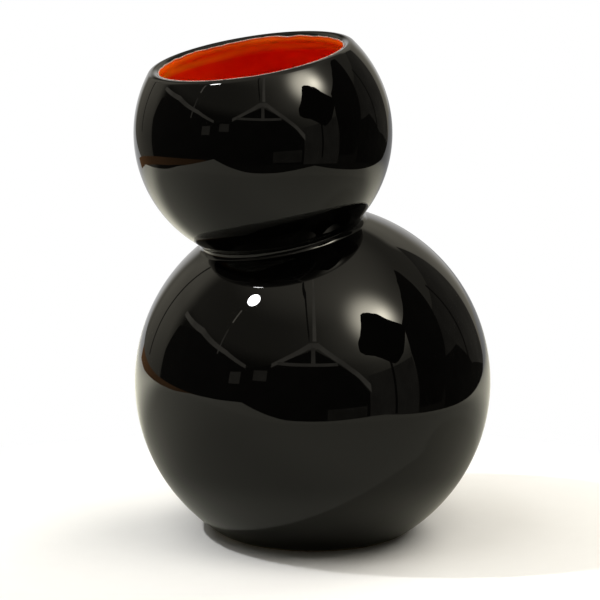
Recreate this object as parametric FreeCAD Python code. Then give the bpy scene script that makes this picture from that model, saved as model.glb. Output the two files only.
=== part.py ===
import FreeCAD, Part
import math
import os

# A leaning double gourd vase: a small globe luted on a large one, with a mouth cut on a slant.
# It stands on its foot at the origin, +Z up, and leans towards -X. Lengths are in mm, angles in degrees.
# Clay makes the walls. A coat of black glaze covers the outside, and an orange one lines the inside.

# The two globes, measured over the black glaze
lower_radius = 100.0
upper_radius = 71.2
globe_spacing = 146.5
lean_angle = 12.0

# The wall over both glazes, and each coat of glaze
wall = 7.2
glaze = 0.5

# The hollow ring where the two globes meet, and how far the coil of clay there runs past its bends
waist_fillet = 3.4
coil_seat = 1.0

# The mouth: how far the middle of its rounded lip stands in from the middle of the wall at the upper
# globe's widest, its slant, and how far round the lip the black goes
mouth_inset = 13.2
mouth_tilt = 9.7
black_turn = 108.0

# The foot: its flat, the ring that stands on the table, and the floor inside
foot_radius = 53.5
foot_ring_width = 6.6
foot_ring_height = 4.0
foot_edge = 0.8
foot_recess = 2.0
floor_thickness = 8.0
floor_corner = 10.0
bare_band = 1.5

full_turn = 360.0
half_turn = 180.0
upright = FreeCAD.Vector(0, 0, 1)


def tilted(angle):
    """The direction that leans by an angle from upright towards -X."""
    turn = math.radians(angle)
    return FreeCAD.Vector(-math.sin(turn), 0, math.cos(turn))


def away(axis, angle):
    """The direction in the XZ plane that is turned by an angle from an axis towards +X."""
    side = FreeCAD.Vector(axis.z, 0, -axis.x)
    turn = math.radians(angle)
    return axis * math.cos(turn) + side * math.sin(turn)


def spot(centre, axis, distance, angle):
    """The point at a distance from a centre, turned from its axis."""
    return centre + away(axis, angle) * distance


def angle_from(axis, direction):
    """The angle between an axis and a direction."""
    return math.degrees(axis.getAngle(direction))


def angle_at(radius, along):
    """The angle from an axis at which a circle of a radius is so far along that axis."""
    return math.degrees(math.acos(along / radius))


def arc(centre, axis, radius, start, end):
    """An arc round a centre, between two angles from its axis."""
    middle = (start + end) / 2
    points = [spot(centre, axis, radius, angle) for angle in (start, middle, end)]
    return Part.Arc(*points)


def line(start, end):
    """A straight run between two points."""
    return Part.LineSegment(start, end)


def closed(curves):
    """The edges of curves in order, with a straight edge across each gap and back to the start."""
    outline = []
    for curve, following in zip(curves, curves[1:] + curves[:1]):
        outline.append(curve.toShape())
        end = curve.value(curve.LastParameter)
        start = following.value(following.FirstParameter)
        if end.distanceToPoint(start) > Part.Precision.confusion():
            outline.append(line(end, start).toShape())
    return outline


def turned(curves, centre, axis):
    """A solid of revolution from the curves of its section."""
    section = Part.Face(Part.Wire(closed(curves)))
    return section.revolve(centre, axis, full_turn)


# Where the globes stand. The lower one is cut flat at the table, the upper one sits on the leaning axis.
lean_axis = tilted(lean_angle)
mouth_axis = tilted(mouth_tilt)
lower_centre = upright * math.sqrt(lower_radius ** 2 - foot_radius ** 2)
upper_centre = lower_centre + lean_axis * globe_spacing

# The middle of the waist's hollow ring touches both globes, so it lies on a circle round the leaning axis.
ring_to_lower = lower_radius + waist_fillet
ring_to_upper = upper_radius + waist_fillet
ring_along = (globe_spacing ** 2 + ring_to_lower ** 2 - ring_to_upper ** 2) / (2 * globe_spacing)
lower_waist_angle = angle_at(ring_to_lower, ring_along)
upper_waist_angle = angle_at(ring_to_upper, globe_spacing - ring_along)
ring_middle = spot(lower_centre, lean_axis, ring_to_lower, lower_waist_angle)

# The coil of clay at the waist ends in two flats across the leaning axis, past the bends of the wall.
coil_foot = (lower_radius - wall) * math.cos(math.radians(lower_waist_angle)) - coil_seat
coil_top = globe_spacing - (upper_radius - wall) * math.cos(math.radians(upper_waist_angle)) + coil_seat

# A globe's section starts inside the waist's opening, off the pole of the axis that it turns about, or
# on that pole where the waist is too narrow to hold it.
lower_start = max(0, lower_waist_angle - angle_from(lean_axis, upright)) / 2
upper_start = half_turn - max(0, upper_waist_angle - angle_from(lean_axis, mouth_axis)) / 2

# The lip is a half round on the edge of the upper globe's wall.
lip_radius = wall / 2
mouth_radius = upper_radius - lip_radius - mouth_inset
mouth_angle = math.degrees(math.asin(mouth_radius / (upper_radius - lip_radius)))
lip_middle = spot(upper_centre, mouth_axis, upper_radius - lip_radius, mouth_angle)

# The rounded corner between the floor and the wall inside, and the flat floor within it
floor_height = foot_recess + floor_thickness + glaze
corner_height = floor_height + floor_corner
corner_reach = lower_radius - wall - floor_corner
flat_floor_radius = math.sqrt(corner_reach ** 2 - (lower_centre.z - corner_height) ** 2)
corner_middle = FreeCAD.Vector(flat_floor_radius, 0, corner_height)
corner_angle = angle_from(upright, corner_middle - lower_centre)
ring_inner_radius = foot_radius - foot_ring_width


def cut_across(shell, along, direction, radius):
    """A globe's shell without the cap past a flat across the leaning axis."""
    reach = 2 * radius
    return shell.cut(Part.makeCylinder(reach, reach, lower_centre + lean_axis * along, direction))


def lower_shell(outer_depth, inner_depth, start):
    """A layer of the lower globe's wall, from an angle near the foot up to the waist."""
    section = [
        arc(lower_centre, upright, lower_radius - outer_depth, start, lower_start),
        arc(lower_centre, upright, lower_radius - inner_depth, lower_start, start),
    ]
    return cut_across(turned(section, lower_centre, upright), coil_foot, lean_axis, lower_radius)


def upper_shell(outer_depth, inner_depth, lip):
    """A layer of the upper globe's wall, from the waist up and round its share of the lip."""
    section = [arc(upper_centre, mouth_axis, upper_radius - outer_depth, upper_start, mouth_angle)]
    section += lip
    section.append(arc(upper_centre, mouth_axis, upper_radius - inner_depth, mouth_angle, upper_start))
    return cut_across(turned(section, upper_centre, mouth_axis), coil_top, lean_axis * -1, upper_radius)


def lip_arc(radius, start, end):
    """An arc round the lip, from its outer side at 0 over its top to its inner side at 180."""
    return arc(lip_middle, mouth_axis, radius, mouth_angle - start, mouth_angle - end)


def waist_bends(depth):
    """The wall's bends at the waist at one depth: lower globe, hollow ring, upper globe."""
    lower = lower_radius - depth
    upper = upper_radius - depth
    return [
        (lower_centre, lower, angle_at(lower, coil_foot), lower_waist_angle),
        (ring_middle, waist_fillet + depth, lower_waist_angle - half_turn, -upper_waist_angle),
        (upper_centre, upper, half_turn - upper_waist_angle, angle_at(upper, coil_top - globe_spacing)),
    ]


def waist_ring(outer_depth, inner_depth):
    """A layer of the wall at the waist, where the two globes turn into one hollow ring."""
    section = [
        arc(centre, lean_axis, radius, start, end)
        for centre, radius, start, end in waist_bends(outer_depth)
    ]
    section += [
        arc(centre, lean_axis, radius, end, start)
        for centre, radius, start, end in reversed(waist_bends(inner_depth))
    ]
    return turned(section, lower_centre, lean_axis)


def foot_ring():
    """The bare ring of clay that the vase stands on, with its two lower edges rubbed round."""
    radius = lower_radius - glaze
    start = angle_at(radius, -lower_centre.z)
    end = angle_at(radius, foot_ring_height - lower_centre.z)
    inner_top = FreeCAD.Vector(ring_inner_radius, 0, foot_ring_height)
    section = [
        arc(lower_centre, upright, radius, start, end),
        line(inner_top, FreeCAD.Vector(ring_inner_radius, 0, 0)),
    ]
    ring = turned(section, lower_centre, upright)
    standing = [edge for edge in ring.Edges if edge.BoundBox.ZMax < foot_edge and edge.isClosed()]
    return ring.makeFillet(foot_edge, standing)


def base():
    """The floor of clay, with the turn of the wall up to where the lower globe was thrown on."""
    radius = lower_radius - glaze
    ring_top_angle = angle_at(radius, foot_ring_height - lower_centre.z)
    step = FreeCAD.Vector(ring_inner_radius, 0, foot_recess)
    top = floor_height - glaze
    section = [
        line(FreeCAD.Vector(0, 0, foot_recess), step),
        line(step, FreeCAD.Vector(ring_inner_radius, 0, foot_ring_height)),
        arc(lower_centre, upright, radius, ring_top_angle, corner_angle),
        arc(corner_middle, upright, floor_corner + glaze, corner_angle, half_turn),
        line(FreeCAD.Vector(flat_floor_radius, 0, top), FreeCAD.Vector(0, 0, top)),
    ]
    return turned(section, lower_centre, upright)


def lower_lining():
    """The orange glaze over the floor, round its corner and up the lower globe's wall."""
    radius = lower_radius - wall
    bottom = floor_height - glaze
    section = [
        line(FreeCAD.Vector(0, 0, floor_height), FreeCAD.Vector(flat_floor_radius, 0, floor_height)),
        arc(corner_middle, upright, floor_corner, half_turn, corner_angle),
        arc(lower_centre, upright, radius, corner_angle, lower_start),
        arc(lower_centre, upright, radius + glaze, lower_start, corner_angle),
        arc(corner_middle, upright, floor_corner + glaze, corner_angle, half_turn),
        line(FreeCAD.Vector(flat_floor_radius, 0, bottom), FreeCAD.Vector(0, 0, bottom)),
    ]
    return cut_across(turned(section, lower_centre, upright), coil_foot, lean_axis, lower_radius)


def clay_pieces():
    """The five pieces of clay, from the table up."""
    lip = [lip_arc(lip_radius - glaze, 0, half_turn)]
    return {
        "foot_ring": foot_ring(),
        "base": base(),
        "lower_globe": lower_shell(glaze, wall - glaze, corner_angle),
        "waist_coil": waist_ring(glaze, wall - glaze),
        "upper_globe": upper_shell(glaze, wall - glaze, lip),
    }


def black_coats():
    """The black glaze outside, from just above the table to just inside the lip."""
    start = angle_at(lower_radius, bare_band - lower_centre.z)
    lip = [lip_arc(lip_radius, 0, black_turn), lip_arc(lip_radius - glaze, black_turn, 0)]
    return {
        "lower_black_coat": lower_shell(0, glaze, start),
        "waist_black_coat": waist_ring(0, glaze),
        "upper_black_coat": upper_shell(0, glaze, lip),
    }


def orange_linings():
    """The orange glaze inside, from the floor to where it meets the black on the lip."""
    lip = [lip_arc(lip_radius - glaze, half_turn, black_turn), lip_arc(lip_radius, black_turn, half_turn)]
    return {
        "lower_orange_lining": lower_lining(),
        "waist_orange_lining": waist_ring(wall - glaze, wall),
        "upper_orange_lining": upper_shell(wall - glaze, wall, lip),
    }


def write(pieces):
    """One file for each piece, under the piece's name."""
    os.makedirs("parts", exist_ok=True)
    for name, piece in pieces.items():
        solid = piece.Solids[0]
        solid.exportStep(f"parts/{name}.step")
        state = "valid" if solid.isValid() else "not valid"
        print(name, state, "1 of", len(piece.Solids), "solids", round(solid.Volume), "mm3")


write({**clay_pieces(), **black_coats(), **orange_linings()})
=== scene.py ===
import bpy
import bmesh
import math
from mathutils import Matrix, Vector, noise


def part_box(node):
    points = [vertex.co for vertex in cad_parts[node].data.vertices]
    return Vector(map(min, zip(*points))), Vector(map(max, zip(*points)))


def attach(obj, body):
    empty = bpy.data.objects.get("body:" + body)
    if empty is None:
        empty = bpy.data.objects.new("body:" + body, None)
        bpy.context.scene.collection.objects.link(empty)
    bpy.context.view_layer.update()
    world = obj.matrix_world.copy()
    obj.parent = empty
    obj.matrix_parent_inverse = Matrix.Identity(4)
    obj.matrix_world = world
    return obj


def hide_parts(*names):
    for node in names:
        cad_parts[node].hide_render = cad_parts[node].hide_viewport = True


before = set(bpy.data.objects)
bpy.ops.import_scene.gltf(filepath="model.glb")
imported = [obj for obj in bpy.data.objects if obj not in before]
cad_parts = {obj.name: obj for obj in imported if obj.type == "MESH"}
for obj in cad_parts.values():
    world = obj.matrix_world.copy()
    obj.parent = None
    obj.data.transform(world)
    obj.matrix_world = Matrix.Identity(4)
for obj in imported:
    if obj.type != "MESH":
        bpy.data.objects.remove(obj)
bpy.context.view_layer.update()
print("frame loaded:", len(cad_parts), "nodes")

upright = Vector((0, 0, 1))
sideways = Vector((0, 1, 0))


def leaning(degrees):
    turn = math.radians(degrees)
    return Vector((-math.sin(turn), 0, math.cos(turn)))


def clamp(share):
    return min(1.0, max(0.0, share))


def smooth(share):
    return share * share * (3 - 2 * share)


def mix(first, second, share):
    return first + (second - first) * share


def steps(count):
    return [i / count for i in range(count + 1)]


def halfWidth(node):
    low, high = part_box(node)[:2]
    return (high.y - low.y) / 2


# the vase's own sizes, in metres and degrees; the two radii are read off the frame

vase = {
    "lowerRadius": halfWidth("lower_black_coat"),
    "upperRadius": halfWidth("upper_black_coat"),
    "footRadius": 0.0535,
    "globeSpacing": 0.1465,
    "lean": 12.0,
    "wall": 0.0072,           # over both glazes
    "glaze": 0.0005,
    "waistHollow": 0.0034,    # radius of the ring where the globes meet
    "mouthRadius": 0.0544,    # to the middle of the rounded lip
    "mouthTilt": 9.7,
    "bareBand": 0.0015,       # clay left bare above the table
    "floorTop": 0.0105,
    "floorCorner": 0.010,
}

lowerCentre = upright * math.sqrt(vase["lowerRadius"] ** 2 - vase["footRadius"] ** 2)
upperCentre = lowerCentre + leaning(vase["lean"]) * vase["globeSpacing"]

# the middle of the waist's hollow ring touches both globes
lowerReach = vase["lowerRadius"] + vase["waistHollow"]
upperReach = vase["upperRadius"] + vase["waistHollow"]
hollowAlong = (vase["globeSpacing"] ** 2 + lowerReach ** 2 - upperReach ** 2) / (2 * vase["globeSpacing"])
hollowAway = math.sqrt(lowerReach ** 2 - hollowAlong ** 2)
lowerWaistTurn = math.acos(hollowAlong / lowerReach)      # radians from the leaning axis
upperWaistTurn = math.acos((vase["globeSpacing"] - hollowAlong) / upperReach)

lipRadius = vase["wall"] / 2
lipAway = vase["upperRadius"] - lipRadius                 # from the upper globe's middle to the lip's
lipTurn = math.asin(vase["mouthRadius"] / lipAway)        # radians from the mouth's axis


# camera: where the photograph was taken from

cameraPlace = {"turn": 25.6, "back": 1.8, "aside": -0.00711, "height": 0.51242, "down": 11.9634,
               "lens": 197.12, "sensor": 36, "nearest": 0.05, "farthest": 60}

turnAngle = math.radians(cameraPlace["turn"])
toBack = Vector((math.sin(turnAngle), math.cos(turnAngle), 0))      # level, away from the camera
toRight = Vector((math.cos(turnAngle), -math.sin(turnAngle), 0))


def fromVase(right, back, height):
    return toRight * right + toBack * back + upright * height


def makeCamera():
    data = bpy.data.cameras.new("camera")
    data.lens = cameraPlace["lens"]
    data.sensor_width = cameraPlace["sensor"]
    data.clip_start = cameraPlace["nearest"]
    data.clip_end = cameraPlace["farthest"]
    camera = bpy.data.objects.new("camera", data)
    bpy.context.scene.collection.objects.link(camera)
    camera.location = fromVase(cameraPlace["aside"], -cameraPlace["back"], cameraPlace["height"])
    down = math.radians(cameraPlace["down"])
    camera.rotation_mode = "QUATERNION"
    camera.rotation_quaternion = (toBack * math.cos(down) - upright * math.sin(down)).to_track_quat("-Z", "Y")
    bpy.context.scene.camera = camera


makeCamera()
bpy.context.scene.view_settings.view_transform = "Standard"
print("camera set")


# small helpers for node trees

def newMaterial(name):
    material = bpy.data.materials.new(name)
    material.use_nodes = True
    tree = material.node_tree
    tree.nodes.clear()
    return material, tree


def addNode(tree, kind, inputs=None, **settings):
    node = tree.nodes.new(kind)
    for key, value in settings.items():
        setattr(node, key, value)
    for key, value in (inputs or {}).items():
        if isinstance(value, bpy.types.NodeSocket):
            tree.links.new(value, node.inputs[key])
        else:
            node.inputs[key].default_value = value
    return node


def doMath(tree, operation, first, second=0.0):
    return addNode(tree, "ShaderNodeMath", {0: first, 1: second}, operation=operation).outputs[0]


def times(tree, first, second):
    return doMath(tree, "MULTIPLY", first, second)


def plus(tree, first, second):
    return doMath(tree, "ADD", first, second)


def dotWith(tree, vector, direction):
    node = addNode(tree, "ShaderNodeVectorMath", {0: vector, 1: direction}, operation="DOT_PRODUCT")
    return node.outputs["Value"]


def spread(tree, value, low, high, toLow=0.0, toHigh=1.0):
    node = addNode(tree, "ShaderNodeMapRange", {"Value": value, "From Min": low, "From Max": high,
                                                "To Min": toLow, "To Max": toHigh}, interpolation_type="SMOOTHSTEP")
    return node.outputs["Result"]


def blendValue(tree, mask, first, second):
    return addNode(tree, "ShaderNodeMix", {"Factor": mask, "A": first, "B": second}).outputs["Result"]


def blendColour(tree, mask, first, second):
    node = addNode(tree, "ShaderNodeMix", {"Factor": mask, "A": first, "B": second}, data_type="RGBA")
    return node.outputs["Result"]


def noiseOn(tree, vector, scale, detail, rough=0.5):
    node = addNode(tree, "ShaderNodeTexNoise", {"Vector": vector, "Scale": scale, "Detail": detail,
                                                "Roughness": rough})
    return node.outputs["Fac"]


def blendShaders(tree, mask, first, second):
    node = addNode(tree, "ShaderNodeMixShader", {0: mask})
    tree.links.new(first.outputs[0], node.inputs[1])
    tree.links.new(second.outputs[0], node.inputs[2])
    return node


def endTree(tree, shader, kind="ShaderNodeOutputMaterial"):
    output = addNode(tree, kind)
    tree.links.new(shader.outputs[0], output.inputs["Surface"])


# stage: a sheet of white paper that isn't quite flat, with its edges seen in the glaze

paper = {
    "right": 0.66, "left": 0.495, "front": 0.535, "back": 2.6,      # its edges, from the middle of the foot
    "widen": 0.4,                                                   # how fast it widens towards the back
    "columns": 40, "rows": 60,
    "flat": 0.14,                                                   # it lies flat out to here
    "liftLeft": 0.06, "liftBend": 1.3, "liftEnds": -0.12, "liftFades": 0.6,
    "dropRight": 0.062, "dropBend": 2.5, "dropEnds": 0.9, "dropFades": 1.2,
    "dropAt": 0.71,                                                 # where dropRight is reached
    "dropFront": 0.01,
}

# how white the paper is: seen straight it's all white, and in the glaze it has the light of the photograph
paperLook = {
    # in the glaze the paper's colour holds painted light: brighter round the foot, behind it brighter on the left
    # than on the right, and a little warmer
    "near": 0.60, "middle": 0.36, "nearRange": (0.072, 0.125),      # round the foot, by distance from it
    "far": 0.41, "farRange": (0.30, 0.50),
    "behindLeft": 0.98, "behindRight": 0.70, "behindRange": (0.09, 0.30), "sideRange": (-0.15, 0.15),
    "grain": 60.0, "grainDetail": 4.0, "grainRange": (0.2, 0.8), "grainDark": 0.985,
    "blue": 0.99, "mirroredBlue": 0.88,
    "farLeft": 0.72, "farRight": 0.38,                              # glow of its far end in the glaze
    "whiteRange": (0.20, 0.34), "whiteBehind": 0.5, "mirroredRange": (0.3, 0.8),
}


def paperHeight(right, back):
    front = clamp((-back - paper["flat"]) / (paper["front"] - paper["flat"]))
    if right < 0:
        near = 1 - clamp((back - paper["liftEnds"]) / paper["liftFades"])
        out = max(0, -right - paper["flat"]) / (paper["left"] - paper["flat"])
        return (paper["liftLeft"] * out ** paper["liftBend"] - paper["dropFront"] * front * (1 - out)) * near
    near = 1 - clamp((back - paper["dropEnds"]) / paper["dropFades"])
    out = max(0, right - paper["flat"]) / (paper["dropAt"] - paper["flat"])
    return -(paper["dropRight"] * out ** paper["dropBend"] + paper["dropFront"] * front) * near


def makePaperWhite():
    look = paperLook
    material, tree = newMaterial("paperWhite")
    rays = addNode(tree, "ShaderNodeLightPath")
    seen, glossy = rays.outputs["Is Camera Ray"], rays.outputs["Is Glossy Ray"]
    place = addNode(tree, "ShaderNodeTexCoord").outputs["Object"]
    behind, beside = dotWith(tree, place, toBack), dotWith(tree, place, toRight)
    far = addNode(tree, "ShaderNodeVectorMath", {0: place}, operation="LENGTH").outputs["Value"]

    # painted light in the glaze: brighter round the foot and behind on the left
    front = doMath(tree, "MAXIMUM", spread(tree, far, *look["nearRange"], look["near"], look["middle"]),
                   spread(tree, far, *look["farRange"], 0.0, look["far"]))
    back = spread(tree, beside, *look["sideRange"], look["behindLeft"], look["behindRight"])
    mirrored = blendValue(tree, spread(tree, behind, *look["behindRange"]), front, back)
    grainNoise = noiseOn(tree, place, look["grain"], look["grainDetail"])
    grain = spread(tree, grainNoise, *look["grainRange"], look["grainDark"], 1.0)
    tone = blendValue(tree, seen, mirrored, grain)
    blue = times(tree, tone, spread(tree, seen, 0.0, 1.0, look["mirroredBlue"], look["blue"]))
    colour = addNode(tree, "ShaderNodeCombineColor", {0: tone, 1: tone, 2: blue}).outputs["Color"]
    lit = addNode(tree, "ShaderNodeBsdfDiffuse", {"Color": colour})

    # with distance the paper turns into the plain white background; in the glaze its far end behind glows as
    # painted light, brighter on the left than on the right
    farShade = spread(tree, beside, *look["sideRange"], look["farLeft"], look["farRight"])
    white = addNode(tree, "ShaderNodeEmission", {"Strength": blendValue(tree, seen, farShade, 1.0)})
    away = plus(tree, times(tree, behind, look["whiteBehind"]), far)
    fade = times(tree, spread(tree, away, *look["whiteRange"]), doMath(tree, "MAXIMUM", seen, glossy))
    farBack = doMath(tree, "MAXIMUM", seen, spread(tree, behind, *look["mirroredRange"]))
    endTree(tree, blendShaders(tree, times(tree, fade, farBack), lit, white))
    return material


def makePaper():
    mesh = bpy.data.meshes.new("paper")
    build = bmesh.new()
    rows = []
    for rowShare in steps(paper["rows"]):
        row = []
        for columnShare in steps(paper["columns"]):
            back = mix(-paper["front"], paper["back"], rowShare)
            right = mix(-paper["left"], paper["right"], columnShare)
            right *= 1 + paper["widen"] * (back if right > 0 else max(0, back))
            row.append(build.verts.new(fromVase(right, back, paperHeight(right, back))))
        rows.append(row)
    for lower, upper in zip(rows, rows[1:]):
        for i in range(paper["columns"]):
            build.faces.new((lower[i], lower[i + 1], upper[i + 1], upper[i]))
    for face in build.faces:
        face.smooth = True
    build.to_mesh(mesh)
    build.free()
    sheet = bpy.data.objects.new("paper", mesh)
    bpy.context.scene.collection.objects.link(sheet)
    mesh.materials.append(makePaperWhite())


# the room round the table. A direction is a turn to the right of the camera and a rise above level, in
# degrees. Ranges are parts of a unit direction: its height, how far right it points and how far back

room = {
    "seen": 1.0,                                                # the plain white background
    "low": 0.03, "ceiling": 0.13, "ceilingRange": (0.33, 0.50),
    "top": 0.27, "topRange": (0.72, 0.97),
    "rightRange": (-0.05, 0.05),
    "side": 0.36, "sideRange": (-0.30, -0.55), "sideBack": (0.28, 0.50),       # a pale wall on the left
    "sideHeight": (-0.15, 0.33), "sideLow": 0.40,
    "wall": 0.36, "wallBack": (0.79, 0.86), "wallHeight": (0.66, 0.58),        # and one behind on the right
    "screenLeft": 0.78, "screenRight": 0.72, "screenHeight": (0.38, 0.18),     # the bright sheet behind
    "screenStart": (0.88, 0.90), "screenFull": (0.955, 0.985),                 # left and right
    "glowTwice": 0.2,                                           # share of a glow that a second mirroring keeps
    "warm": (1.0, 0.94, 0.77, 1.0), "cool": (1.0, 0.985, 0.96, 1.0),
}

# the soft glow behind the flag: size in degrees, and how flat its middle is
glows = [
    {"turn": 55.2, "rise": 44.8, "bright": 8.6, "size": 13.4, "flat": 3.1},
    {"turn": 55.2, "rise": 44.8, "bright": 3.0, "size": 11.5, "flat": 1.0},
    {"turn": 65.5, "rise": 43.0, "bright": 10.0, "size": 6.0, "flat": 2.0},
]


def wayTo(turn, rise):
    turn, rise = math.radians(turn), math.radians(rise)
    level = toRight * math.sin(turn) - toBack * math.cos(turn)
    return level * math.cos(rise) + upright * math.sin(rise)


def makeWorld():
    world = bpy.data.worlds.new("studio")
    bpy.context.scene.world = world
    world.use_nodes = True
    tree = world.node_tree
    tree.nodes.clear()
    rays = addNode(tree, "ShaderNodeLightPath")
    way = addNode(tree, "ShaderNodeTexCoord").outputs["Generated"]
    right, back, height = (dotWith(tree, way, direction) for direction in (toRight, toBack, upright))
    onRight = spread(tree, right, *room["rightRange"])

    above = plus(tree, spread(tree, height, *room["ceilingRange"], room["low"], room["ceiling"]),
                 spread(tree, height, *room["topRange"], 0.0, room["top"]))
    twice = doMath(tree, "GREATER_THAN", rays.outputs["Glossy Depth"], 1.5)
    mirrored = spread(tree, twice, 0.0, 1.0, rays.outputs["Is Glossy Ray"], room["glowTwice"])
    for glow in glows:
        angle = doMath(tree, "ARCCOSINE", dotWith(tree, way, wayTo(glow["turn"], glow["rise"])))
        off = times(tree, angle, 180 / math.pi / glow["size"])
        fall = doMath(tree, "EXPONENT", times(tree, doMath(tree, "POWER", off, glow["flat"]), -1.0))
        above = plus(tree, above, times(tree, times(tree, fall, glow["bright"]), mirrored))

    side = times(tree, spread(tree, right, *room["sideRange"]),
                 spread(tree, back, *room["sideBack"], 0.0, room["side"]))
    side = times(tree, side, spread(tree, height, *room["sideHeight"], room["sideLow"], 1.0))

    levelLength = doMath(tree, "SQRT", doMath(tree, "SUBTRACT", 1.0, times(tree, height, height)))
    levelBack = doMath(tree, "DIVIDE", back, levelLength)
    wall = times(tree, times(tree, spread(tree, levelBack, *room["wallBack"]), onRight),
                 spread(tree, height, *room["wallHeight"], 0.0, room["wall"]))
    above = plus(tree, plus(tree, above, side), wall)

    screenStart = spread(tree, onRight, 0.0, 1.0, *room["screenStart"])
    screenFull = spread(tree, onRight, 0.0, 1.0, *room["screenFull"])
    screen = times(tree, spread(tree, levelBack, screenStart, screenFull),
                   spread(tree, height, *room["screenHeight"]))
    screenBright = spread(tree, onRight, 0.0, 1.0, room["screenLeft"], room["screenRight"])

    strength = blendValue(tree, screen, above, screenBright)
    colour = blendColour(tree, screen, room["warm"], room["cool"])
    studio = addNode(tree, "ShaderNodeBackground", {"Color": colour, "Strength": strength})
    white = addNode(tree, "ShaderNodeBackground", {"Color": (1.0, 1.0, 1.0, 1.0), "Strength": room["seen"]})
    endTree(tree, blendShaders(tree, rays.outputs["Is Camera Ray"], studio, white), "ShaderNodeOutputWorld")


# things in the room that only the glaze shows, as painted reflections: glowing and dark cards that light nothing.
# Columns of a turn with a lower and an upper rise

roomThings = {
    "farRoom": {"far": 3.0, "bright": 0.022, "columns": [
        (-114, -16, 6), (-110, -16, 18), (-100, -16, 22), (-88, -16, 24), (-62, -16, 21),
        (-45, -16, 17), (-30, -16, 21), (0, -16, 33), (12, -16, 27), (28, -16, 15), (36, -16, 4)]},
    "tableEdge": {"far": 0.75, "bright": 0.22, "tint": (1.0, 0.52, 0.24, 1.0), "columns": [
        (-143, -6, -3), (-120, -7, -3.2), (-90, -8, -3.2), (-50, -7, -3.2)]},
    "rightRoom": {"far": 3.1, "bright": 0.12, "columns": [(36, -16, 14), (70, -16, 18)]},
    "farRightRoom": {"far": 3.1, "bright": 0.02, "columns": [
        (92, -16, 9), (112, -16, 9), (125, -16, -2), (146, -16, -8)]},
    "farRightTop": {"far": 3.1, "bright": 0.085, "columns": [
        (92, 9, 24), (112, 9, 28), (125, -2, 31), (146, -8, 36)]},
    "eaves": {"far": 2.9, "bright": 0.42, "columns": [
        (-112, 22, 24), (-88, 24, 27), (-62, 21, 23.5), (-45, 17, 19)]},
    "leftRafter": {"far": 2.9, "bright": 0.45, "columns": [(-28, 20, 22.5), (-15, 27, 30), (-3, 33, 37)]},
    "rightRafter": {"far": 2.9, "bright": 0.45, "columns": [
        (-3, 33, 37), (4, 33, 37), (20, 22, 25.5), (30, 13, 17), (37, 4, 9)]},
    "tieBeam": {"far": 2.85, "bright": 0.32, "columns": [(-24, 22, 24), (17, 22, 24)]},
    "post": {"far": 2.8, "bright": 0.32, "columns": [(-1.5, 22, 34), (1.5, 22, 34)]},
    "paneLeft": {"far": 2.95, "bright": 0.22, "columns": [(-55, 6.5, 13), (-47.5, 7.5, 14.5)]},
    "paneRight": {"far": 2.95, "bright": 0.16, "columns": [(-39, 11, 17), (-30, 11.5, 18)]},
    "bench": {"far": 2.95, "bright": 0.085, "columns": [(9, -14, -4.5), (22, -14, -4), (34, -14, -3.5)]},
    "stripLight": {"far": 2.6, "bright": 0.62, "columns": [(-0.5, 38, 84), (2.5, 38, 84)]},
    "cable": {"far": 2.5, "bright": 0.05, "columns": [
        (-24, 76, 79), (-11, 65, 70), (-7, 54, 60), (-4.5, 43, 50), (-3, 36, 42)]},
    "darkPanel": {"far": 2.0, "bright": 0.018, "columns": [
        (70, -9, 20), (74, -9, 35), (88, -9, 42), (92, 0, 44), (105, 24, 48), (117, 47, 49)]},
    "rightStand": {"far": 2.2, "bright": 0.02, "columns": [(120.5, -8, 32), (122, -8, 32)]},
    "leftStand": {"far": 2.2, "bright": 0.05, "columns": [(-133, -2, 37), (-131.5, -2, 37)]},
    "nearStand": {"far": 2.4, "bright": 0.02, "columns": [(52.5, -10, 20), (54, -10, 20)]},
    "flag": {"far": 1.15, "bright": 0.012, "columns": [
        (32.5, 29, 32), (33, 28, 34), (36, 26, 37.5), (40, 25, 43.5), (42, 24.5, 47), (44, 23.5, 49.5),
        (47, 22, 50), (52, 18.8, 49), (55, 17.5, 47.5), (58, 18.5, 46.5), (63, 21.5, 41.5), (67, 26, 38.5),
        (72, 31.5, 35), (73, 33, 34)]},
    "lampStand": {"far": 1.35, "bright": 1.2, "columns": [(-67.6, 38, 46), (-66.4, 38, 46)]},
    "lampFoot": {"far": 1.35, "bright": 0.45, "columns": [(-67.4, 20, 34), (-66.6, 20, 34)]},
}

roomLook = {"tint": (1.0, 0.94, 0.80, 1.0), "columnWidth": 4, "levels": 12, "cloud": 2.0, "cloudDetail": 3.0,
            "cloudRange": (0.2, 0.8), "uneven": 0.2}


def onlyMirrored(thing):
    thing.visible_camera = False
    thing.visible_diffuse = False
    thing.visible_transmission = False
    thing.visible_volume_scatter = False
    thing.visible_shadow = False


def plainGlow(name, bright, tint):
    material, tree = newMaterial(name)
    place = addNode(tree, "ShaderNodeTexCoord").outputs["Object"]
    cloud = noiseOn(tree, place, roomLook["cloud"], roomLook["cloudDetail"])
    strength = spread(tree, cloud, *roomLook["cloudRange"], bright * (1 - roomLook["uneven"]),
                      bright * (1 + roomLook["uneven"]))
    endTree(tree, addNode(tree, "ShaderNodeEmission", {"Color": tint, "Strength": strength}))
    return material


def fineColumns(columns):
    fine = []
    for column, following in zip(columns, columns[1:]):
        count = max(1, round((following[0] - column[0]) / roomLook["columnWidth"]))
        for k in range(count):
            fine.append([mix(value, nextValue, k / count) for value, nextValue in zip(column, following)])
    fine.append(columns[-1])
    return fine


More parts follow.
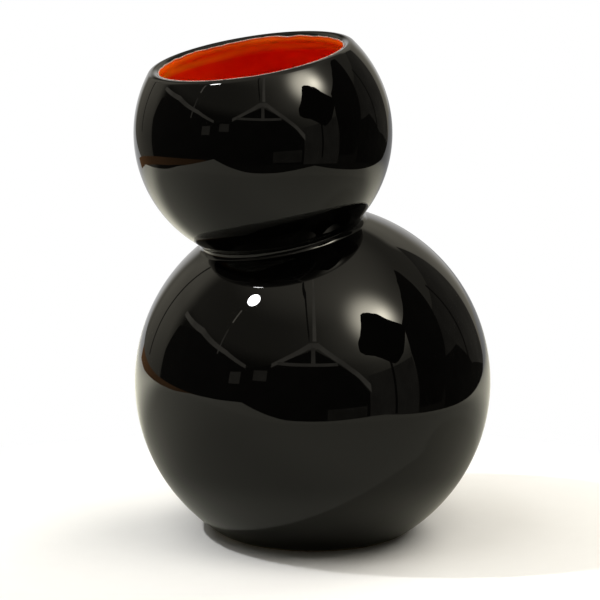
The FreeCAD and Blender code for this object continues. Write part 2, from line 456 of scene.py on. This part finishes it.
def makeRoomThings():
    for name, thing in roomThings.items():
        mesh = bpy.data.meshes.new(name)
        build = bmesh.new()
        columns = fineColumns(thing["columns"])
        rows = [[build.verts.new(lowerCentre + wayTo(turn, mix(low, high, share)) * thing["far"])
                 for turn, low, high in columns] for share in steps(roomLook["levels"])]
        for lower, upper in zip(rows, rows[1:]):
            for i in range(len(columns) - 1):
                build.faces.new((lower[i], lower[i + 1], upper[i + 1], upper[i]))
        build.to_mesh(mesh)
        build.free()
        card = bpy.data.objects.new(name, mesh)
        bpy.context.scene.collection.objects.link(card)
        mesh.materials.append(plainGlow(name, thing["bright"], thing.get("tint", roomLook["tint"])))
        onlyMirrored(card)


# lamps. The hard one throws the shadow. Its head is a round glowing disc of its own, a painted highlight that
# lights nothing and that only the glaze shows

hardLamp = {"turn": -85.6, "rise": 49.5, "far": 1.27, "size": 0.035, "power": 5.8, "tint": (1.0, 1.0, 1.0)}

softLamps = {
    "frontRight": {"turn": 60.0, "rise": 60.0, "far": 2.2, "size": 1.6, "power": 14.5, "tint": (1.0, 0.95, 0.88)},
    "frontLeft": {"turn": -60.0, "rise": 60.0, "far": 2.2, "size": 1.6, "power": 10.0, "tint": (1.0, 0.99, 0.97)},
    "top": {"turn": 0.0, "rise": 89.0, "far": 2.2, "size": 1.6, "power": 4.5, "tint": (1.0, 0.98, 0.95)},
    "backRight": {"turn": 135.0, "rise": 35.0, "far": 2.2, "size": 1.6, "power": 29.5, "tint": (1.0, 0.96, 0.88)},
    "backLeft": {"turn": -115.0, "rise": 55.0, "far": 2.2, "size": 1.6, "power": 6.5, "tint": (1.0, 0.99, 0.97)},
}

lampHeadGlint = {"turn": -64.5, "rise": 54.0, "far": 1.27, "size": 0.16, "bright": 70.0, "tint": (1.0, 1.0, 1.0, 1.0),
            "corners": 48}


def makeLamp(name, values):
    data = bpy.data.lights.new(name, "AREA")
    data.shape = "DISK"
    data.size = values["size"]
    data.energy = values["power"]
    data.color = values["tint"]
    lamp = bpy.data.objects.new(name, data)
    bpy.context.scene.collection.objects.link(lamp)
    way = wayTo(values["turn"], values["rise"])
    lamp.location = lowerCentre + way * values["far"]
    lamp.rotation_mode = "QUATERNION"
    lamp.rotation_quaternion = way.to_track_quat("Z", "Y")
    lamp.visible_glossy = False


def makeLampHeadGlint():
    mesh = bpy.data.meshes.new("lampHeadGlint")
    build = bmesh.new()
    way = wayTo(lampHeadGlint["turn"], lampHeadGlint["rise"])
    side = way.cross(upright).normalized()
    other = way.cross(side)
    middle = lowerCentre + way * lampHeadGlint["far"]
    rim = []
    for i in range(lampHeadGlint["corners"]):
        turn = 2 * math.pi * i / lampHeadGlint["corners"]
        out = side * math.cos(turn) + other * math.sin(turn)
        rim.append(build.verts.new(middle + out * lampHeadGlint["size"] / 2))
    build.faces.new(rim)
    build.to_mesh(mesh)
    build.free()
    head = bpy.data.objects.new("lampHeadGlint", mesh)
    bpy.context.scene.collection.objects.link(head)
    mesh.materials.append(plainGlow("lampHeadGlint", lampHeadGlint["bright"], lampHeadGlint["tint"]))
    onlyMirrored(head)


makePaper()
makeWorld()
makeRoomThings()
makeLamp("hardLamp", hardLamp)
for name, values in softLamps.items():
    makeLamp(name, values)
makeLampHeadGlint()
print("stage, room and lamps set")


# the skin that both glazes have, as a node group: soft ripples, fine orange peel, rare pinholes and a cloud
# for the gloss. Scales are turns of the noise in a metre

skin = {
    "ripple": 45.0, "rippleDetail": 1.0,
    "peel": 420.0, "peelDetail": 2.0,
    "pinholes": 130.0, "pinholeRare": (0.90, 0.97), "pinholeEdge": (0.05, 0.02),
    "cloud": 22.0, "cloudDetail": 4.0, "cloudRough": 0.6, "cloudRange": (0.3, 0.7),
}


def newGroup(name, inputs, outputs):
    group = bpy.data.node_groups.new(name, "ShaderNodeTree")
    for label, kind, value in inputs:
        socket = group.interface.new_socket(name=label, in_out="INPUT", socket_type=kind)
        if value is not None:
            socket.default_value = value
    for label, kind in outputs:
        group.interface.new_socket(name=label, in_out="OUTPUT", socket_type=kind)
    return group, group.nodes.new("NodeGroupInput").outputs, group.nodes.new("NodeGroupOutput").inputs


def rareCells(tree, cells, rare):
    chance = addNode(tree, "ShaderNodeSeparateColor", {0: cells.outputs["Color"]}).outputs[0]
    return spread(tree, chance, *rare)


def makeGlazeSkin():
    group, given, result = newGroup(
        "glazeSkin",
        [("Place", "NodeSocketVector", None), ("Ripple", "NodeSocketFloat", 0.0),
         ("Peel", "NodeSocketFloat", 0.0), ("Pinholes", "NodeSocketFloat", 0.0)],
        [("Normal", "NodeSocketVector"), ("Cloud", "NodeSocketFloat")])
    place = given["Place"]
    ripple = times(group, noiseOn(group, place, skin["ripple"], skin["rippleDetail"]), given["Ripple"])
    peel = times(group, noiseOn(group, place, skin["peel"], skin["peelDetail"]), given["Peel"])
    cells = addNode(group, "ShaderNodeTexVoronoi", {"Vector": place, "Scale": skin["pinholes"]})
    hole = times(group, spread(group, cells.outputs["Distance"], *skin["pinholeEdge"]),
                 rareCells(group, cells, skin["pinholeRare"]))
    sunk = times(group, hole, times(group, given["Pinholes"], -1.0))
    height = plus(group, plus(group, ripple, peel), sunk)
    bump = addNode(group, "ShaderNodeBump", {"Height": height, "Distance": 1.0, "Strength": 1.0})
    cloudNoise = noiseOn(group, place, skin["cloud"], skin["cloudDetail"], skin["cloudRough"])
    group.links.new(bump.outputs["Normal"], result["Normal"])
    group.links.new(spread(group, cloudNoise, *skin["cloudRange"]), result["Cloud"])
    return group


glazeSkin = makeGlazeSkin()


def skinOn(tree, place, look):
    node = addNode(tree, "ShaderNodeGroup", {
        "Place": place, "Ripple": look["ripple"], "Peel": look["peel"], "Pinholes": look["pinholes"]},
        node_tree=glazeSkin)
    return node.outputs["Normal"], node.outputs["Cloud"]


blackGlazeLook = {
    # the pale colour is the glaze break on the lip's ridge with a painted highlight
    "deep": (0.0014, 0.0013, 0.0012, 1), "paleGlint": (0.90, 0.70, 0.61, 1),
    "gloss": 0.010, "smear": 0.028,                              # roughness where the cloud is 0 and 1
    "ripple": 0.00002, "peel": 0.0000010, "pinholes": 0.00004,   # heights and depth in metres
    "breaks": 260.0, "breakDetail": 5.0, "breakRough": 0.65, "breakRange": (0.30, 0.50),
}


def makeBlackGlaze():
    look = blackGlazeLook
    material, tree = newMaterial("blackGlaze")
    place = addNode(tree, "ShaderNodeTexCoord").outputs["Object"]
    normal, cloud = skinOn(tree, place, look)
    # the pale crest on the lip: glaze break with a painted highlight, broken up by noise
    crest = addNode(tree, "ShaderNodeAttribute", attribute_name="paleGlazeAndGlint").outputs["Fac"]
    breaks = noiseOn(tree, place, look["breaks"], look["breakDetail"], look["breakRough"])
    paleGlintMask = times(tree, crest, spread(tree, breaks, *look["breakRange"]))
    endTree(tree, addNode(tree, "ShaderNodeBsdfPrincipled", {
        "Base Color": blendColour(tree, paleGlintMask, look["deep"], look["paleGlint"]),
        "Roughness": spread(tree, cloud, 0.0, 1.0, look["gloss"], look["smear"]), "IOR": 1.5, "Normal": normal}))
    return material


orangeGlazeLook = {
    "plain": (0.88, 0.066, 0.0020, 1), "pooled": (0.83, 0.044, 0.0015, 1),
    # first the colour of the painted light band under the lip, then the pale crest on the lip's ridge, which is
    # glaze break with a painted highlight
    "lipLight": (0.96, 0.600, 0.015, 1), "paleGlint": (0.94, 0.60, 0.44, 1),
    "gloss": 0.05, "smear": 0.11,
    "ripple": 0.0001, "peel": 0.000003, "pinholes": 0.00006,
    "mottle": 70.0, "mottleDetail": 5.0, "mottleRough": 0.6, "mottleRange": (0.35, 0.75),
}


def makeOrangeGlaze():
    look = orangeGlazeLook
    material, tree = newMaterial("orangeGlaze")
    place = addNode(tree, "ShaderNodeTexCoord").outputs["Object"]
    normal, cloud = skinOn(tree, place, look)
    # the painted light band under the lip, and the pale crest: glaze break with a painted highlight
    lipLight = addNode(tree, "ShaderNodeAttribute", attribute_name="paintedLipLight").outputs["Fac"]
    crest = addNode(tree, "ShaderNodeAttribute", attribute_name="paleGlazeAndGlint").outputs["Fac"]
    mottle = noiseOn(tree, place, look["mottle"], look["mottleDetail"], look["mottleRough"])
    body = blendColour(tree, spread(tree, mottle, *look["mottleRange"]), look["plain"], look["pooled"])
    endTree(tree, addNode(tree, "ShaderNodeBsdfPrincipled", {
        "Base Color": blendColour(tree, crest, blendColour(tree, lipLight, body, look["lipLight"]), look["paleGlint"]),
        "Roughness": spread(tree, cloud, 0.0, 1.0, look["gloss"], look["smear"]), "IOR": 1.5, "Normal": normal}))
    return material


clayLook = {
    "body": (0.60, 0.52, 0.43, 1), "dark": (0.42, 0.34, 0.26, 1), "iron": (0.10, 0.05, 0.03, 1),
    "cloud": 35.0, "cloudDetail": 5.0, "cloudRough": 0.6, "cloudRange": (0.3, 0.7),
    "specks": 420.0, "speckRare": (0.80, 0.95), "speckEdge": (0.35, 0.15),
    "grain": 1400.0, "grainDetail": 4.0, "grainRough": 0.7, "grainHeight": 0.0002, "grainStrength": 0.6,
}


def makeBareClay():
    look = clayLook
    material, tree = newMaterial("bareClay")
    place = addNode(tree, "ShaderNodeTexCoord").outputs["Object"]
    cloud = noiseOn(tree, place, look["cloud"], look["cloudDetail"], look["cloudRough"])
    body = blendColour(tree, spread(tree, cloud, *look["cloudRange"]), look["body"], look["dark"])
    cells = addNode(tree, "ShaderNodeTexVoronoi", {"Vector": place, "Scale": look["specks"]})
    speck = times(tree, spread(tree, cells.outputs["Distance"], *look["speckEdge"]),
                  rareCells(tree, cells, look["speckRare"]))
    grain = noiseOn(tree, place, look["grain"], look["grainDetail"], look["grainRough"])
    bump = addNode(tree, "ShaderNodeBump", {
        "Height": grain, "Distance": look["grainHeight"], "Strength": look["grainStrength"]})
    endTree(tree, addNode(tree, "ShaderNodeBsdfPrincipled", {
        "Base Color": blendColour(tree, speck, body, look["iron"]), "Roughness": 0.85, "IOR": 1.45,
        "Normal": bump.outputs["Normal"]}))
    return material


blackGlaze = makeBlackGlaze()
orangeGlaze = makeOrangeGlaze()
bareClay = makeBareClay()
print("materials made")


# rings of the vase: each one gives a point and its outward direction for a turn round the ring

def around(axis, turn):
    return sideways.cross(axis) * math.cos(turn) + sideways * math.sin(turn)


def globeRing(centre, radius, fromAxis, lean):
    axis = leaning(lean)

    def place(turn):
        out = axis * math.cos(fromAxis) + around(axis, turn) * math.sin(fromAxis)
        return centre + out * radius, out
    return place


def waistRing(radius, angle):
    axis = leaning(vase["lean"])

    def place(turn):
        across = around(axis, turn)
        inward = axis * math.cos(angle) + across * math.sin(angle)
        middle = lowerCentre + axis * hollowAlong + across * hollowAway
        return middle + inward * radius, -inward
    return place


def lipRing(radius, reach, ridge):
    # reach gives how far round the lip the ring lies at a turn, in radians
    axis = leaning(vase["mouthTilt"])

    def place(turn):
        across = around(axis, turn)
        middle = upperCentre + (axis * math.cos(lipTurn) + across * math.sin(lipTurn)) * lipAway
        angle = lipTurn - reach(turn)
        out = axis * math.cos(angle) + across * math.sin(angle)
        off = (reach(turn) - edgeTurn(turn)) * lipRadius / edge["ridgeWidth"]
        return middle + out * (radius + ridge * math.exp(-off * off)), out
    return place


def cornerRing(depth, middleAway, angle):
    # round the corner between the floor and the wall inside
    corner = vase["floorCorner"]

    def place(turn):
        across = around(upright, turn)
        middle = upright * (vase["floorTop"] + corner) + across * middleAway
        out = upright * math.cos(angle) + across * math.sin(angle)
        return middle + out * (corner + depth), -out
    return place


def floorRing(depth, radius):
    def place(turn):
        return upright * (vase["floorTop"] - depth) + around(upright, turn) * radius, upright
    return place


def inward(ring):
    def place(turn):
        point, out = ring(turn)
        return point, -out
    return place


# how evenly the vase was thrown: the wander of the surface in metres, over forms of this size
hand = {"segments": 192, "uneven": 0.00004, "unevenSize": 0.045, "fineUneven": 0.4, "fineScale": 2.3,
        "seed": Vector((3.1, 7.7, 1.9))}

# the line on the lip where the glazes meet, in degrees round the lip from its outer side, and its ridge
edge = {
    "turn": 112.0, "front": -34.0, "frontWide": 1.6,
    "wander": 11.0, "slow": 2.2, "quick": 9.0, "quickShare": 0.6,
    "notch": 12.0, "notchTurn": 42.0, "notchWide": 7.0,
    "crowd": 1.7,                                       # rings stand closer near the line
    "ridge": 0.00045, "ridgeWidth": 0.00050,
    # the pale crest along the ridge, glaze break with a painted highlight: its reach at the front and at the back,
    # and its share at the back
    "paleGlint": 0.00050, "paleGlintBack": 0.00032, "faint": 0.6,
}


def nearSide(turn):
    # 1 on the front of the lip, 0 on its back
    return smooth(clamp(-edge["frontWide"] * around(leaning(vase["mouthTilt"]), turn).dot(toBack)))


def edgeTurn(turn):
    # how far round the lip the black goes, in radians; it wanders a little, as a brush does
    spot = Vector((math.cos(turn), math.sin(turn), 0.0))
    slow = noise.noise(spot * edge["slow"] + hand["seed"])
    quick = noise.noise(spot * edge["quick"] + hand["seed"] * 2)
    wander = edge["wander"] * (slow + edge["quickShare"] * quick)
    fromNotch = math.remainder(turn - math.radians(edge["notchTurn"]), 2 * math.pi)
    notch = edge["notch"] * math.exp(-(math.degrees(fromNotch) / edge["notchWide"]) ** 2)
    return math.radians(edge["turn"] + edge["front"] * nearSide(turn) + wander + notch)


def blackReach(share):
    return lambda turn: share * edgeTurn(turn)


def orangeReach(share):
    return lambda turn: mix(edgeTurn(turn), math.pi, share)


def unevenBy(point):
    spot = point / hand["unevenSize"] + hand["seed"]
    fine = hand["fineUneven"] * noise.noise(spot * hand["fineScale"])
    return hand["uneven"] * (noise.noise(spot) + fine)


def addRing(build, ring):
    row = []
    for i in range(hand["segments"]):
        point, out = ring(2 * math.pi * i / hand["segments"])
        row.append(build.verts.new(point + out * unevenBy(point)))
    return row


def joinRings(build, rows, closed=False):
    pairs = list(zip(rows, rows[1:]))
    if closed:
        pairs.append((rows[-1], rows[0]))
    for lower, upper in pairs:
        count = len(lower)
        for i in range(count):
            j = (i + 1) % count
            build.faces.new((lower[i], lower[j], upper[j], upper[i]))


def finishPiece(build, name, material, nodes):
    bmesh.ops.recalc_face_normals(build, faces=build.faces[:])
    for face in build.faces:
        face.smooth = True
    mesh = bpy.data.meshes.new(name)
    build.to_mesh(mesh)
    build.free()
    piece = bpy.data.objects.new(name, mesh)
    bpy.context.scene.collection.objects.link(piece)
    mesh.materials.append(material)
    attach(piece, "root")
    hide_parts(*nodes)
    return piece


def markPoints(piece, name, valueAt):
    values = [valueAt(vertex.co) for vertex in piece.data.vertices]
    piece.data.attributes.new(name, "FLOAT", "POINT").data.foreach_set("value", values)


def paleGlintAt(point):
    # pale where the glazes break over the ridge, with a painted highlight along it that is wider and brighter on
    # the front of the lip
    axis = leaning(vase["mouthTilt"])
    spot = point - upperCentre
    flat = spot - axis * spot.dot(axis)
    turn = math.atan2(flat.dot(sideways), flat.dot(sideways.cross(axis)))
    across = around(axis, turn)
    middle = (axis * math.cos(lipTurn) + across * math.sin(lipTurn)) * lipAway
    crest = lipTurn - edgeTurn(turn)
    ridge = middle + (axis * math.cos(crest) + across * math.sin(crest)) * (lipRadius + edge["ridge"])
    toFront = nearSide(turn)
    reach = mix(edge["paleGlintBack"], edge["paleGlint"], toFront)
    return mix(edge["faint"], 1.0, toFront) * math.exp(-((spot - ridge).length / reach) ** 2)


# the black glaze. Rings on the lower globe, the waist, the upper globe and the lip, outside and at its back
blackCoat = {"rings": (96, 20, 60, 30), "backRings": (24, 8, 16, 8)}


def blackRings(depth, counts):
    # from just above the table to where the orange starts on the lip
    lowerCount, waistCount, upperCount, lipCount = counts
    rings = []
    radius = vase["lowerRadius"] - depth
    start = math.acos((vase["bareBand"] - lowerCentre.z) / radius)
    for share in steps(lowerCount)[:-1]:
        rings.append(globeRing(lowerCentre, radius, mix(start, lowerWaistTurn, share), vase["lean"] * share))
    for share in steps(waistCount)[:-1]:
        rings.append(waistRing(vase["waistHollow"] + depth, mix(lowerWaistTurn - math.pi, -upperWaistTurn, share)))
    radius = vase["upperRadius"] - depth
    for share in steps(upperCount)[:-1]:
        turn = mix(math.pi - upperWaistTurn, lipTurn, share)
        rings.append(globeRing(upperCentre, radius, turn, mix(vase["lean"], vase["mouthTilt"], share)))
    ridge = 0.0 if depth else edge["ridge"]
    for share in steps(lipCount):
        rings.append(lipRing(lipRadius - depth, blackReach(1 - (1 - share) ** edge["crowd"]), ridge))
    return rings


def makeBlackCoat():
    build = bmesh.new()
    outside = blackRings(0.0, blackCoat["rings"])
    back = blackRings(vase["glaze"], blackCoat["backRings"])
    joinRings(build, [addRing(build, ring) for ring in outside + back[::-1]], closed=True)
    piece = finishPiece(build, "black_glaze", blackGlaze,
                        ("lower_black_coat", "waist_black_coat", "upper_black_coat"))
    # mark the pale crest: glaze break with a painted highlight
    markPoints(piece, "paleGlazeAndGlint", paleGlintAt)


# the orange glaze. Rings on the lip, the upper globe, the waist, the lower globe, the corner and the floor,
# and how far below the lip's middle the band of painted light under the lip starts, is full and ends
lining = {
    "rings": (24, 56, 16, 80, 10, 20), "backRings": (4, 14, 6, 20, 4, 5),
    "floorMiddle": 0.0008,                              # radius of the last ring on the floor
    "lipLightStart": 0.0003, "lipLightFull": 0.0040, "lipLightFrom": 0.0042, "lipLightTo": 0.0078, "lipLightLeast": 0.13,
    "lipLightWander": 0.0015, "lipLightWanderSize": 0.02,
}


def liningRings(depth, counts):
    lipCount, upperCount, waistCount, lowerCount, cornerCount, floorCount = counts
    upperInside = vase["upperRadius"] - vase["wall"]
    lowerInside = vase["lowerRadius"] - vase["wall"]
    cornerHeight = vase["floorTop"] + vase["floorCorner"]
    flatFloor = math.sqrt((lowerInside - vase["floorCorner"]) ** 2 - (lowerCentre.z - cornerHeight) ** 2)
    cornerTurn = math.atan2(flatFloor, cornerHeight - lowerCentre.z)
    ridge = 0.0 if depth else edge["ridge"]
    rings = []
    for share in steps(lipCount)[:-1]:
        rings.append(lipRing(lipRadius - depth, orangeReach(share ** edge["crowd"]), ridge))
    for share in steps(upperCount)[:-1]:
        turn = mix(lipTurn, math.pi - upperWaistTurn, share)
        lean = mix(vase["mouthTilt"], vase["lean"], share)
        rings.append(inward(globeRing(upperCentre, upperInside + depth, turn, lean)))
    for share in steps(waistCount)[:-1]:
        angle = mix(-upperWaistTurn, lowerWaistTurn - math.pi, share)
        rings.append(inward(waistRing(vase["waistHollow"] + vase["wall"] - depth, angle)))
    for share in steps(lowerCount)[:-1]:
        turn = mix(lowerWaistTurn, cornerTurn, share)
        rings.append(inward(globeRing(lowerCentre, lowerInside + depth, turn, vase["lean"] * (1 - share))))
    for share in steps(cornerCount)[:-1]:
        rings.append(cornerRing(depth, flatFloor, mix(cornerTurn, math.pi, share)))
    for share in steps(floorCount):
        rings.append(floorRing(depth, flatFloor * (1 - share) + lining["floorMiddle"] * share))
    return rings


def paintedLipLightAt(point):
    # the light band under the lip is painted light: the glaze colour is lighter and yellower where light falls on
    # the wall just under the lip
    lipHeight = lipAway * math.cos(lipTurn)
    below = lipHeight - (point - upperCentre).dot(leaning(vase["mouthTilt"]))
    below += lining["lipLightWander"] * noise.noise(point / lining["lipLightWanderSize"])
    start = clamp((below - lining["lipLightStart"]) / (lining["lipLightFull"] - lining["lipLightStart"]))
    end = clamp((lining["lipLightTo"] - below) / (lining["lipLightTo"] - lining["lipLightFrom"]))
    return smooth(end) * mix(lining["lipLightLeast"], 1.0, smooth(start))


def makeOrangeLining():
    build = bmesh.new()
    rows = [addRing(build, ring) for ring in liningRings(0.0, lining["rings"])]
    backRows = [addRing(build, ring) for ring in liningRings(vase["glaze"], lining["backRings"])]
    joinRings(build, rows)
    joinRings(build, backRows)
    joinRings(build, [rows[0], backRows[0]])
    build.faces.new(rows[-1])
    build.faces.new(backRows[-1])
    piece = finishPiece(build, "orange_glaze", orangeGlaze,
                        ("lower_orange_lining", "waist_orange_lining", "upper_orange_lining"))
    # mark the painted light band under the lip, and the pale crest: glaze break with a painted highlight
    markPoints(piece, "paintedLipLight", paintedLipLightAt)
    markPoints(piece, "paleGlazeAndGlint", paleGlintAt)


makeBlackCoat()
makeOrangeLining()
print("glazes made")


# the clay keeps its frame shape and gets its own finish

clayNodes = ("foot_ring", "base", "lower_globe", "waist_coil", "upper_globe")

for name in clayNodes:
    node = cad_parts[name]
    node.data.materials.clear()
    node.data.materials.append(bareClay)
    for polygon in node.data.polygons:
        polygon.material_index = 0
print("clay finished")
